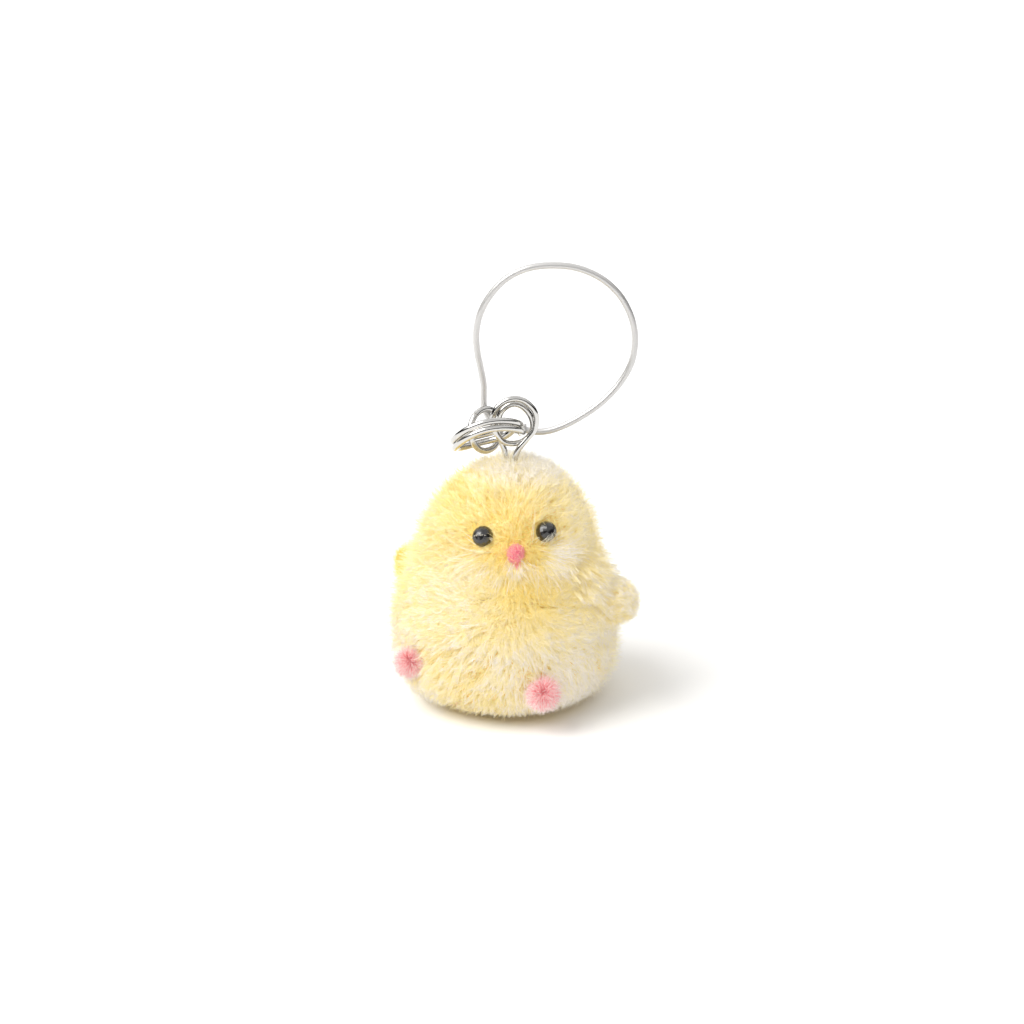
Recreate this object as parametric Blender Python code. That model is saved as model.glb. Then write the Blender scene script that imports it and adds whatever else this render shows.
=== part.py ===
"""Plush chick keychain: stuffed body and head, bead eyes, a double-turn hanger eye, a split ring, a jump ring and a cord loop."""

import math

import bmesh
import bpy
from mathutils import Matrix, Vector

MM = 0.001

# Driving dimensions, in millimetres. The front of the body faces -Y.
GAP = 0.3
PLUSH = 1.2
LIMB_PLUSH = 0.9
NECK_Z = 19.8
BODY_OUTER = [
    (9.0, 0.25),
    (12.0, 0.75),
    (14.6, 2.2),
    (16.3, 4.6),
    (17.0, 7.6),
    (17.0, 11.0),
    (16.4, 14.2),
    (15.5, 16.6),
    (14.2, 18.3),
    (12.3, 19.3),
    (9.2, 19.5),
]
HEAD_OUTER = [
    (9.2, 20.1),
    (12.2, 20.35),
    (13.3, 21.4),
    (13.65, 23.2),
    (13.5, 25.4),
    (12.95, 28.0),
    (12.0, 30.6),
    (10.6, 33.0),
    (8.5, 35.2),
    (5.8, 37.1),
    (3.6, 38.15),
    (2.1, 38.6),
]
HALF_STEPS = 15
BASE_RADIUS = 8.6
BASE_THICKNESS = 1.2
HEAD_YAW = math.radians(25.4)
HEAD_LEAN = 0.055
STITCH_RADIUS = 11.0
STITCH_THREAD = 0.3

ARM_RADII = {"left": 2.8, "right": 3.0}
ARM_ROOT = (13.9, 17.2)
ARM_TIPS = {"left": (16.7, 18.2), "right": (17.4, 17.6)}
ARM_AZIMUTHS = {"left": -95.0, "right": 90.0}
ARMHOLE_RADIUS = 3.85

FOOT_RADIUS = 2.75
FOOT_REACH = 17.1
FEET = {"left": (-43.0, 8.2), "right": (38.6, 6.2)}

EYE_RADIUS = 1.65
EYES = {"left": (-27.5, 30.5), "right": (22.0, 31.0)}
NOSE_RADIUS = 1.3
NOSE = (-2.0, 28.4)
SHANK_RADIUS = 0.5
WASHER_RADIUS = 1.7
WASHER_THICKNESS = 0.6

CROWN_HOLE = 2.1
ANCHOR_RADIUS = 3.2
ANCHOR_Z = 35.4
ANCHOR_THICKNESS = 0.8
HANGER_WIRE = 0.92
SPLIT_RING = (12.0, 1.05)
SPLIT_RING_RISE = 1.15
SMALL_RING = (7.6, 1.0)
CORD_DIAMETER = 1.05
FERRULE = (1.8, 2.0)
FERRULE_CENTRE = Vector((2.30, 5.20, 42.60))
FERRULE_ALONG = Vector((0.9557, -0.2402, -0.1701))

# Stations of the hanger wire, in the head's own axes, from one leg's foot to the other's.
HANGER_ROUTE = [
    (1.85, -0.45, 34.25),
    (1.20, -0.45, 34.30),
    (0.95, -0.45, 34.90),
    (0.95, -0.45, 37.00),
    (1.00, -0.50, 39.20),
    (1.55, -0.60, 41.00),
    (2.75, -0.62, 42.55),
    (4.05, -0.55, 44.15),
    (4.45, -0.55, 45.60),
    (4.25, -0.55, 47.00),
    (3.50, -0.55, 48.15),
    (2.40, -0.55, 49.05),
    (1.00, -0.55, 49.40),
    (-0.45, -0.55, 49.05),
    (-1.60, -0.55, 48.15),
    (-2.25, -0.55, 47.00),
    (-2.40, -0.55, 45.70),
    (-2.20, -0.55, 44.60),
    (-1.60, -0.50, 43.35),
    (-0.75, -0.33, 42.35),
    (0.45, 0.00, 41.90),
    (2.05, 0.45, 41.90),
    (3.30, 0.60, 42.72),
    (3.98, 0.60, 44.10),
    (3.80, 0.60, 45.70),
    (3.10, 0.55, 46.95),
    (2.15, 0.55, 47.85),
    (1.00, 0.55, 48.20),
    (-0.10, 0.55, 47.85),
    (-1.00, 0.60, 46.95),
    (-1.45, 0.65, 45.70),
    (-1.55, 0.70, 44.50),
    (-1.40, 0.75, 43.20),
    (-0.95, 0.75, 41.90),
    (-0.45, 0.65, 40.60),
    (-0.25, 0.50, 39.20),
    (-0.25, 0.45, 37.00),
    (-0.25, 0.45, 34.90),
    (-0.50, 0.45, 34.30),
    (-1.15, 0.45, 34.25),
]
SPLIT_RING_CENTRE = Vector((-3.14, 0.0, 43.15))
SPLIT_RING_RIGHT = Vector((0.976, 0.0, 0.2177))
SPLIT_RING_NEAR = Vector((-0.0854, -0.9198, 0.3830))
SPLIT_RING_START = -20.0
SPLIT_RING_JOG = 50.0
SPLIT_RING_BOW = (1.25, 0.3)
SMALL_RING_CENTRE = Vector((-3.05, 4.85, 42.65))
SMALL_RING_YAW = math.radians(39.0)
SMALL_RING_TILT = math.radians(-10.0)
SMALL_RING_ROLL = math.radians(7.0)
CORD_ROUTE = [
    (2.20, 5.22, 42.62),
    (1.63, 5.37, 42.72),
    (1.06, 5.51, 42.82),
    (0.00, 5.70, 43.10),
    (-0.95, 5.85, 43.40),
    (-1.80, 6.20, 43.75),
    (-2.50, 6.75, 44.30),
    (-2.98, 7.20, 45.15),
    (-3.15, 7.40, 46.30),
    (-3.15, 7.30, 47.80),
    (-3.20, 7.00, 49.60),
    (-3.65, 6.75, 52.20),
    (-4.20, 6.30, 55.00),
    (-4.42, 5.80, 58.30),
    (-3.80, 5.40, 61.60),
    (-2.25, 5.05, 64.60),
    (0.05, 4.75, 67.15),
    (3.20, 4.50, 68.80),
    (7.00, 4.40, 69.30),
    (11.20, 4.30, 68.80),
    (15.05, 4.25, 67.00),
    (17.95, 4.20, 64.20),
    (19.80, 4.15, 60.60),
    (20.40, 4.10, 56.90),
    (19.80, 4.10, 53.10),
    (17.80, 4.10, 49.60),
    (14.75, 4.10, 46.50),
    (11.00, 4.15, 44.05),
    (7.60, 4.30, 42.55),
    (5.20, 4.60, 42.15),
    (3.54, 4.89, 42.38),
    (2.97, 5.03, 42.48),
    (2.40, 5.18, 42.58),
]

COLOURS = {
    "plush_yellow": (0.93, 0.80, 0.42, 1.0),
    "plush_pink": (0.90, 0.50, 0.56, 1.0),
    "backing_cloth": (0.86, 0.78, 0.52, 1.0),
    "stuffing_white": (0.90, 0.89, 0.86, 1.0),
    "sewing_thread": (0.90, 0.82, 0.56, 1.0),
    "bead_black": (0.012, 0.010, 0.010, 1.0),
    "nose_flock": (0.86, 0.36, 0.40, 1.0),
    "washer_white": (0.82, 0.82, 0.80, 1.0),
    "ring_chrome": (0.80, 0.80, 0.80, 1.0),
    "cord_silver": (0.72, 0.72, 0.70, 1.0),
    "ferrule_steel": (0.42, 0.41, 0.40, 1.0),
}
METALS = {"ring_chrome": 0.12, "ferrule_steel": 0.35}


def clear_scene():
    for old in list(bpy.data.objects):
        bpy.data.objects.remove(old, do_unlink=True)
    for old in list(bpy.data.meshes):
        bpy.data.meshes.remove(old)


def new_collection(name, hidden=False):
    made = bpy.data.collections.new(name)
    made.hide_render = hidden
    bpy.context.scene.collection.children.link(made)
    return made


def new_material(name):
    made = bpy.data.materials.new(name)
    made.use_nodes = True
    made.diffuse_color = COLOURS[name]
    shader = made.node_tree.nodes["Principled BSDF"]
    shader.inputs["Base Color"].default_value = COLOURS[name]
    shader.inputs["Metallic"].default_value = 1.0 if name in METALS else 0.0
    shader.inputs["Roughness"].default_value = METALS.get(name, 0.8)
    return made


clear_scene()
SOLIDS = new_collection("plush_keychain")
CUTTERS = new_collection("cutters", hidden=True)
MATERIALS = {name: new_material(name) for name in COLOURS}


def axis_empty(name, point):
    """The marker that a moving piece hangs on: it stands on the joint's axis."""
    made = bpy.data.objects.new(name, None)
    made.empty_display_size = 0.004
    made.location = point * MM
    SOLIDS.objects.link(made)
    return made


def object_from(name, bm, material, frame=None, parent=None, cutter=False):
    """One object from a bmesh in millimetres, placed by frame and hung on parent."""
    if frame is not None:
        bmesh.ops.transform(bm, matrix=frame, verts=bm.verts)
    bmesh.ops.recalc_face_normals(bm, faces=bm.faces)
    pivot = Vector((0.0, 0.0, 0.0)) if parent is None else parent.location / MM
    for vert in bm.verts:
        vert.co = (vert.co - pivot) * MM
    mesh = bpy.data.meshes.new(name)
    bm.to_mesh(mesh)
    bm.free()
    made = bpy.data.objects.new(name, mesh)
    if cutter:
        made.display_type = "WIRE"
        made.hide_render = True
        CUTTERS.objects.link(made)
        return made
    mesh.materials.append(MATERIALS[material])
    made.parent = parent
    SOLIDS.objects.link(made)
    return made


def inset(outline, depth):
    """The open outline moved towards the inside by depth, point by point."""
    moved = []
    for i, (radius, height) in enumerate(outline):
        before = outline[max(i - 1, 0)]
        after = outline[min(i + 1, len(outline) - 1)]
        run, rise = after[0] - before[0], after[1] - before[1]
        length = math.hypot(run, rise)
        moved.append((radius - depth * rise / length, height + depth * run / length))
    return moved


def spun(outline, steps, sweep=math.tau, start=0.0):
    """A solid swept about Z from an outline of (radius, height) points: closed loops give rings or half shells, and an outline from axis to axis gives a full solid."""
    bm = bmesh.new()
    turn = Matrix.Rotation(start, 3, "Z")
    verts = [bm.verts.new(turn @ Vector((radius, 0.0, height))) for radius, height in outline]
    full = sweep >= math.tau - 1e-6
    touches = outline[0][0] < 1e-6
    if full:
        geometry = verts + [bm.edges.new(pair) for pair in zip(verts, verts[1:])]
        if not touches:
            geometry.append(bm.edges.new((verts[-1], verts[0])))
    else:
        face = bm.faces.new(verts)
        geometry = verts + list(face.edges) + [face]
    bmesh.ops.spin(
        bm,
        geom=geometry,
        cent=(0.0, 0.0, 0.0),
        axis=(0.0, 0.0, 1.0),
        angle=sweep,
        steps=steps,
        use_merge=full,
    )
    bmesh.ops.remove_doubles(bm, verts=bm.verts, dist=1e-4)
    return bm


def half_shell(outline, steps, back):
    """Half of a plush panel shell: its two straight edges are the side seams."""
    loop = outline + inset(outline, PLUSH)[::-1]
    start = 0.0 if back else math.pi
    bm = spun(loop, steps, sweep=math.pi, start=start)
    shift = Vector((0.0, GAP / 2 if back else -GAP / 2, 0.0))
    bmesh.ops.translate(bm, vec=shift, verts=bm.verts)
    return bm


def stuffing_outline(outline, plug_bottom=None, plug_top=None):
    """The filling inside a shell, from axis to axis, with a plug up or down the neck opening."""
    inner = inset(outline, PLUSH + GAP)
    first, last = inner[0], inner[-1]
    start = [(0.0, first[1])]
    if plug_bottom is not None:
        start = [(0.0, plug_bottom), (first[0] - 0.15, plug_bottom), (first[0] - 0.15, first[1] - 0.05)]
    end = [(0.0, last[1])]
    if plug_top is not None:
        end = [(last[0] - 0.35, last[1] + 0.05), (last[0] - 0.35, plug_top), (0.0, plug_top)]
    return start + inner + end


def cut(target, cutter):
    step = target.modifiers.new("cut_" + cutter.name, "BOOLEAN")
    step.operation = "DIFFERENCE"
    step.solver = "EXACT"
    step.object = cutter


def ball_cutter(name, centre, radius, frame=None, parent=None):
    bm = bmesh.new()
    bmesh.ops.create_icosphere(bm, subdivisions=2, radius=radius)
    bmesh.ops.translate(bm, vec=centre, verts=bm.verts)
    return object_from(name, bm, None, frame, parent, cutter=True)


def rod_cutter(name, radius, low, high, frame=None, segments=16):
    bm = spun([(0.0, low), (radius, low), (radius, high), (0.0, high)], segments)
    return object_from(name, bm, None, frame, cutter=True)


def bent_wire(name, stations, diameter, material, parent, spacing, bevel=2, ends=True):
    """A round wire along a smooth line through the stations, drawn as a straight-sided spline."""
    points = smooth_line(stations, spacing) if spacing else stations
    curve = bpy.data.curves.new(name, "CURVE")
    curve.dimensions = "3D"
    curve.bevel_depth = diameter / 2 * MM
    curve.bevel_resolution = bevel
    curve.use_fill_caps = ends
    spline = curve.splines.new("POLY")
    spline.points.add(len(points) - 1)
    pivot = parent.location / MM
    for knot, point in zip(spline.points, points):
        knot.co = (*((Vector(point) - pivot) * MM), 1.0)
    curve.materials.append(MATERIALS[material])
    made = bpy.data.objects.new(name, curve)
    made.parent = parent
    SOLIDS.objects.link(made)
    return made


def smooth_line(stations, spacing):
    """Points at an even spacing along a Catmull-Rom line through the stations."""
    knots = [Vector(point) for point in stations]
    dense = []
    for i in range(len(knots) - 1):
        before = knots[max(i - 1, 0)]
        here, there = knots[i], knots[i + 1]
        after = knots[min(i + 2, len(knots) - 1)]
        for k in range(24):
            t = k / 24
            dense.append(
                0.5
                * (
                    2 * here
                    + (there - before) * t
                    + (2 * before - 5 * here + 4 * there - after) * t**2
                    + (3 * here - before - 3 * there + after) * t**3
                )
            )
    dense.append(knots[-1])
    along = [0.0]
    for first, second in zip(dense, dense[1:]):
        along.append(along[-1] + (second - first).length)
    count = max(2, round(along[-1] / spacing))
    even = []
    k = 0
    for i in range(count + 1):
        want = along[-1] * i / count
        while k < len(along) - 2 and along[k + 1] < want:
            k += 1
        share = (want - along[k]) / max(along[k + 1] - along[k], 1e-9)
        even.append(dense[k].lerp(dense[k + 1], min(max(share, 0.0), 1.0)))
    return even


def open_ring(centre, right, up, radius, gap_at, gap, steps):
    """Stations round a jump ring, with its split at the angle gap_at."""
    half = math.asin(gap / 2 / radius)
    angles = [gap_at + half + (math.tau - 2 * half) * i / steps for i in range(steps + 1)]
    return [centre + radius * (math.cos(a) * right + math.sin(a) * up) for a in angles]


def outward(azimuth, reach, height, rise=0.0):
    """A frame at a point on the surface: its Z leaves along the azimuth, raised by rise, and its Y points up."""
    angle = math.radians(azimuth)
    axis = Vector((math.sin(angle), -math.cos(angle), 0.0))
    axis = (axis * math.cos(rise) + Vector((0.0, 0.0, math.sin(rise)))).normalized()
    side = Vector((0.0, 0.0, 1.0)).cross(axis).normalized()
    over = axis.cross(side)
    turn = Matrix((side, over, axis)).transposed().to_4x4()
    base = Vector((math.sin(angle) * reach, -math.cos(angle) * reach, height))
    return Matrix.Translation(base) @ turn


def radius_at(outline, height):
    """(radius, slope angle) of the outline at this height."""
    for (low_r, low_z), (high_r, high_z) in zip(outline, outline[1:]):
        if low_z <= height <= high_z:
            share = (height - low_z) / (high_z - low_z)
            slope = math.atan2(low_r - high_r, high_z - low_z)
            return low_r + (high_r - low_r) * share, slope
    raise ValueError("height outside the outline")


def cup(radius, wall, root, tip, opening):
    """Outline of a plush cap about Z: a round tip, straight sides and an open end, hollow inside."""
    outer = arc(radius, tip, 90.0, 0.0, 4) + arc(radius, root, 0.0, opening, 3)
    inner = arc(radius - wall, root, opening + 4.0, 0.0, 2) + arc(radius - wall, tip, 0.0, 90.0, 3)
    return outer + inner


def arc(radius, centre, start, end, steps):
    """Points on a circle about (0, centre): 90 degrees is the tip and -90 the root."""
    points = []
    for i in range(steps + 1):
        angle = math.radians(start + (end - start) * i / steps)
        across = radius * math.cos(angle)
        points.append((0.0 if abs(across) < 1e-6 else across, centre + radius * math.sin(angle)))
    return points


# The frames that the pieces stand in.
lean = Matrix.Identity(4)
lean[0][2] = HEAD_LEAN
lean[0][3] = -HEAD_LEAN * 20.1
TURN = Matrix.Rotation(HEAD_YAW, 4, "Z")
HEAD_FRAME = TURN @ lean
head_axis = axis_empty("head_turn_axis", Vector((0.0, 0.0, NECK_Z)))

# Body: two half shells, a base panel, the filling and the neck stitching.
body_panels = {}
for side, back in (("front", False), ("back", True)):
    body_panels[side] = object_from(
        f"body_{side}_panel", half_shell(BODY_OUTER, HALF_STEPS, back), "plush_yellow"
    )
edge = 0.3
base_outline = [
    (0.0, 0.0),
    (BASE_RADIUS - edge, 0.0),
    (BASE_RADIUS, edge),
    (BASE_RADIUS, BASE_THICKNESS - edge),
    (BASE_RADIUS - edge, BASE_THICKNESS),
    (0.0, BASE_THICKNESS),
]
object_from("body_base_panel", spun(base_outline, 2 * HALF_STEPS), "backing_cloth")
body_filling = object_from(
    "body_stuffing",
    spun(stuffing_outline(BODY_OUTER, plug_top=19.35), 24),
    "stuffing_white",
)
stitch = [
    (STITCH_RADIUS + STITCH_THREAD * math.cos(math.tau * i / 6), NECK_Z + STITCH_THREAD * math.sin(math.tau * i / 6))
    for i in range(6)
]
object_from("neck_stitching", spun(stitch, 30), "sewing_thread")

# Head: two half shells and the filling, all about the neck's axis.
head_panels = {}
for side, back in (("front", False), ("back", True)):
    head_panels[side] = object_from(
        f"head_{side}_panel",
        half_shell(HEAD_OUTER, HALF_STEPS, back),
        "plush_yellow",
        HEAD_FRAME,
        head_axis,
    )
head_filling = object_from(
    "head_stuffing",
    spun(stuffing_outline(HEAD_OUTER, plug_bottom=20.25), 24),
    "stuffing_white",
    HEAD_FRAME,
    head_axis,
)

# Arms: each hinges about an upright line through the middle of its armhole.
for side, azimuth in ARM_AZIMUTHS.items():
    arm_radius, arm_tip = ARM_RADII[side], ARM_TIPS[side]
    arm_length = math.dist(ARM_ROOT, arm_tip)
    arm_rise = math.atan2(arm_tip[1] - ARM_ROOT[1], arm_tip[0] - ARM_ROOT[0])
    frame = outward(azimuth, ARM_ROOT[0], ARM_ROOT[1], arm_rise)
    joint = axis_empty(f"{side}_arm_axis", frame.translation)
    object_from(
        f"{side}_arm_cover",
        spun(cup(arm_radius, LIMB_PLUSH, 0.0, arm_length, -40.0), 14),
        "plush_yellow",
        frame,
        joint,
    )
    core = arm_radius - LIMB_PLUSH - GAP
    filling = arc(core, 0.0, -90.0, 0.0, 3) + arc(core, arm_length, 0.0, 90.0, 3)
    object_from(f"{side}_arm_stuffing", spun(filling, 12), "stuffing_white", frame, joint)
    hole = ball_cutter(f"{side}_armhole", frame.translation, ARMHOLE_RADIUS)
    for target in (body_panels["front"], body_panels["back"], body_filling):
        cut(target, hole)

# Feet: two pink caps sewn over holes in the front panel.
for side, (azimuth, height) in FEET.items():
    frame = outward(azimuth, FOOT_REACH, height)
    object_from(
        f"{side}_foot_cover",
        spun(cup(FOOT_RADIUS, LIMB_PLUSH, 0.0, 0.25, -40.0), 14),
        "plush_pink",
        frame,
    )
    core = FOOT_RADIUS - LIMB_PLUSH - GAP
    filling = arc(core, 0.0, -90.0, 0.0, 3) + arc(core, 0.25, 0.0, 90.0, 3)
    object_from(f"{side}_foot_stuffing", spun(filling, 12), "stuffing_white", frame)
    hole = ball_cutter(f"{side}_foot_hole", frame.translation, FOOT_RADIUS + 0.4)
    for target in (body_panels["front"], body_filling):
        cut(target, hole)


def safety_bead(name, dome, place, material, droop=1.0):
    """A domed bead with a shank through the panel and a washer pressed on behind it."""
    azimuth, height = place
    reach, slope = radius_at(HEAD_OUTER, height)
    frame = HEAD_FRAME @ outward(azimuth, reach - 0.2, height, slope)
    seat = [(dome * math.cos(math.radians(a)), dome * math.sin(math.radians(a))) for a in (-25, -8, 10, 28, 46, 66)]
    outline = [(0.0, dome)] + seat[::-1] + [(SHANK_RADIUS, seat[0][1]), (SHANK_RADIUS, -3.4), (0.0, -3.4)]
    bm = spun(outline, 16)
    for vert in bm.verts:
        if vert.co.y < 0 and vert.co.z > -1.0:
            vert.co.y *= droop
    object_from(name, bm, material, frame, head_axis)
    low = -3.1
    ring = [
        (SHANK_RADIUS + 0.12, low),
        (WASHER_RADIUS, low),
        (WASHER_RADIUS, low + WASHER_THICKNESS),
        (SHANK_RADIUS + 0.12, low + WASHER_THICKNESS),
    ]
    object_from(f"{name}_washer", spun(ring, 14), "washer_white", frame, head_axis)
    cut(head_panels["front"], rod_cutter(f"{name}_hole", SHANK_RADIUS + 0.2, -2.6, 3.0, frame))
    cut(head_panels["front"], ball_cutter(f"{name}_seat", (0.0, 0.0, 0.0), dome * droop + 0.25, frame))
    cut(head_filling, rod_cutter(f"{name}_pocket", WASHER_RADIUS + 0.3, -3.9, 3.0, frame))


for side, place in EYES.items():
    safety_bead(f"{side}_eye", EYE_RADIUS, place, "bead_black")
safety_bead("nose", NOSE_RADIUS, NOSE, "nose_flock", droop=1.22)

# Hanger: a double-turn wire eye whose legs pass the crown hole and spread under an anchor disc.
bent_wire(
    "hanger_loop",
    [TURN @ Vector(point) for point in HANGER_ROUTE],
    HANGER_WIRE,
    "ring_chrome",
    head_axis,
    0.8,
    bevel=3,
)
anchor_frame = TURN @ Matrix.Translation(Vector((0.35, 0.0, 0.0)))
anchor = object_from(
    "anchor_disc",
    spun(
        [
            (0.0, ANCHOR_Z),
            (ANCHOR_RADIUS, ANCHOR_Z),
            (ANCHOR_RADIUS, ANCHOR_Z + ANCHOR_THICKNESS),
            (0.0, ANCHOR_Z + ANCHOR_THICKNESS),
        ],
        20,
    ),
    "washer_white",
    anchor_frame,
    head_axis,
)
for leg, (x, y) in enumerate(((0.95, -0.45), (-0.25, 0.45))):
    place = TURN @ Matrix.Translation(Vector((x, y, 0.0)))
    cut(anchor, rod_cutter(f"anchor_hole_{leg}", HANGER_WIRE / 2 + 0.12, ANCHOR_Z - 1.0, ANCHOR_Z + 2.0, place, 12))
cut(head_filling, rod_cutter("anchor_pocket", ANCHOR_RADIUS + 0.4, 33.4, 41.0, anchor_frame, 24))

# Split ring: two stacked turns of one wire, which step past each other at the jog.
split_wire = SPLIT_RING[1]
split_radius = (SPLIT_RING[0] - split_wire) / 2
split_right = SPLIT_RING_RIGHT.normalized()
split_near = (SPLIT_RING_NEAR - SPLIT_RING_NEAR.project(split_right)).normalized()
split_up = split_right.cross(split_near)
if split_up.z < 0:
    split_up = -split_up
split_stations = []
split_sweep = 720.0 - SPLIT_RING_JOG
for i in range(61):
    turned = split_sweep * i / 60
    share = min(max((turned - 360.0 + SPLIT_RING_JOG) / SPLIT_RING_JOG, 0.0), 1.0)
    level = SPLIT_RING_RISE * (share * share * (3.0 - 2.0 * share) - 0.5)
    angle = math.radians(SPLIT_RING_START + turned)
    bow = SPLIT_RING_BOW[0] if math.sin(angle) > 0 else SPLIT_RING_BOW[1]
    flat = split_radius * (math.cos(angle) * split_right + math.sin(angle) * split_near)
    split_stations.append(SPLIT_RING_CENTRE + flat + (level + bow * math.sin(angle) ** 2) * split_up)
hook = SPLIT_RING_CENTRE + split_radius * split_right
split_axis = axis_empty("split_ring_axis", TURN @ hook)
bent_wire("split_ring", [TURN @ p for p in split_stations], split_wire, "ring_chrome", split_axis, 0, bevel=3)

# Jump ring, open by a hair at its split.
small_wire = SMALL_RING[1]
small_radius = (SMALL_RING[0] - small_wire) / 2
small_turn = Matrix.Rotation(SMALL_RING_YAW, 3, "Z") @ Matrix.Rotation(SMALL_RING_TILT, 3, "X")
small_turn = small_turn @ Matrix.Rotation(SMALL_RING_ROLL, 3, "Y")
small_right = small_turn @ Vector((1.0, 0.0, 0.0))
small_up = small_turn @ Vector((0.0, 0.0, 1.0))
link = SPLIT_RING_CENTRE - split_radius * split_near
small_axis = axis_empty("small_ring_axis", TURN @ link)
small_stations = open_ring(SMALL_RING_CENTRE, small_right, small_up, small_radius, math.radians(130.0), 0.22, 36)
bent_wire("small_jump_ring", [TURN @ p for p in small_stations], small_wire, "ring_chrome", small_axis, 0, bevel=3)

# Cord loop, whose two ends meet inside a metal ferrule.
cord_pivot = SMALL_RING_CENTRE + small_radius * small_up
cord_axis = axis_empty("cord_loop_axis", TURN @ cord_pivot)
bent_wire("cord_loop", [TURN @ Vector(p) for p in CORD_ROUTE], CORD_DIAMETER, "cord_silver", cord_axis, 1.3)
bore = CORD_DIAMETER / 2 + 0.12
outside, length = FERRULE[0] / 2, FERRULE[1]
sleeve = [(bore, -length / 2), (outside, -length / 2), (outside, length / 2), (bore, length / 2)]
along = FERRULE_ALONG.to_track_quat("Z", "Y").to_matrix().to_4x4()
place = TURN @ Matrix.Translation(FERRULE_CENTRE) @ along
object_from("cord_ferrule", spun(sleeve, 16), "ferrule_steel", place, cord_axis)
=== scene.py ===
import math

import bmesh
import bpy
import numpy as np
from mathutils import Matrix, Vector


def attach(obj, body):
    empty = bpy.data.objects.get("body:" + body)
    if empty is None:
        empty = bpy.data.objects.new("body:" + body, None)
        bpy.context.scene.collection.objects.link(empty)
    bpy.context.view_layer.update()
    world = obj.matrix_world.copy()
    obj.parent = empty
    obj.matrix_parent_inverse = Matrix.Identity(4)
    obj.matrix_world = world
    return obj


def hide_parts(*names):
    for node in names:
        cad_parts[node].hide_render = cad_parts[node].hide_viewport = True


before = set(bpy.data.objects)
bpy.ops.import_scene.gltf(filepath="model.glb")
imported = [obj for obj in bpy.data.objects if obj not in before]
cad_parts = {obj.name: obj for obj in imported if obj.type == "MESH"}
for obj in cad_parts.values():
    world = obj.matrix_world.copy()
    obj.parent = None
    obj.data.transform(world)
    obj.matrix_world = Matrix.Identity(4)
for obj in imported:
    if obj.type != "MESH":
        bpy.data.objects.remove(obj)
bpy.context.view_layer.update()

MM = 0.001
UP = np.array((0.0, 0.0, 1.0))
WHITE = (1.0, 1.0, 1.0)

# ---------------------------------------------------------------- camera, light and floor
VIEW_AZIMUTH = math.radians(20.0)
VIEW_ELEVATION = math.radians(20.0)
VIEW_DISTANCE = 0.449
AIM = Vector((0.607, 0.221, 30.51)) * MM
TOWARDS_CAMERA = Vector(
    (
        math.sin(VIEW_AZIMUTH) * math.cos(VIEW_ELEVATION),
        -math.cos(VIEW_AZIMUTH) * math.cos(VIEW_ELEVATION),
        math.sin(VIEW_ELEVATION),
    )
)
camera_data = bpy.data.cameras.new("camera")
camera_data.lens = 100.0
camera_data.sensor_width = 36.0
camera_data.clip_start = 0.01
camera = bpy.data.objects.new("camera", camera_data)
camera.location = AIM + TOWARDS_CAMERA * VIEW_DISTANCE
camera.rotation_euler = (-TOWARDS_CAMERA).to_track_quat("-Z", "Y").to_euler()
bpy.context.scene.collection.objects.link(camera)
bpy.context.scene.camera = camera

KEY_FROM = (-0.7, -0.62, 1.05)
key_data = bpy.data.lights.new("key", "SUN")
key_data.energy = 2.4
key_data.angle = math.radians(46.0)
key_data.color = (1.0, 0.99, 0.955)
key = bpy.data.objects.new("key", key_data)
key.rotation_euler = Vector(KEY_FROM).to_track_quat("Z", "Y").to_euler()
bpy.context.scene.collection.objects.link(key)


def map_range(tree, socket, from_low, from_high, to_low, to_high):
    """The output of a node that maps a value from one range to another."""
    node = tree.nodes.new("ShaderNodeMapRange")
    limits = zip(("From Min", "From Max", "To Min", "To Max"), (from_low, from_high, to_low, to_high))
    for name, value in limits:
        node.inputs[name].default_value = value
    tree.links.new(socket, node.inputs["Value"])
    return node.outputs[0]


# The sky's strength by height, from straight down to straight up, with a dark band for the metal to
# reflect. Heights are 0 to 1.
SKY_STOPS = ((0.0, 0.75), (0.4, 0.4), (0.48, 0.03), (0.66, 0.03), (0.72, 1.2), (0.88, 1.55), (1.0, 1.0))
# The sky is stronger on the left than on the right.
SKY_LEFT, SKY_RIGHT = 1.05, 0.5

bpy.context.scene.view_settings.view_transform = "Standard"
world = bpy.data.worlds.new("studio")
bpy.context.scene.world = world
world.use_nodes = True
studio = world.node_tree
studio.nodes.clear()
place = studio.nodes.new("ShaderNodeTexCoord")
split = studio.nodes.new("ShaderNodeSeparateXYZ")
studio.links.new(place.outputs["Generated"], split.inputs[0])
side = map_range(studio, split.outputs["X"], -0.9, 0.9, SKY_LEFT, SKY_RIGHT)
rise = map_range(studio, split.outputs["Z"], -1.0, 1.0, 0.0, 1.0)
height = studio.nodes.new("ShaderNodeValToRGB")
stops = height.color_ramp.elements
for stop, (_, value) in zip(stops, (SKY_STOPS[0], SKY_STOPS[-1])):
    stop.color = (value, value, value, 1.0)
for position, value in SKY_STOPS[1:-1]:
    stop = stops.new(position)
    stop.color = (value, value, value, 1.0)
studio.links.new(rise, height.inputs[0])
product = studio.nodes.new("ShaderNodeMath")
product.operation = "MULTIPLY"
studio.links.new(side, product.inputs[0])
studio.links.new(height.outputs[0], product.inputs[1])
sky = studio.nodes.new("ShaderNodeBackground")
sky.inputs["Color"].default_value = (*WHITE, 1.0)
studio.links.new(product.outputs[0], sky.inputs["Strength"])
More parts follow.
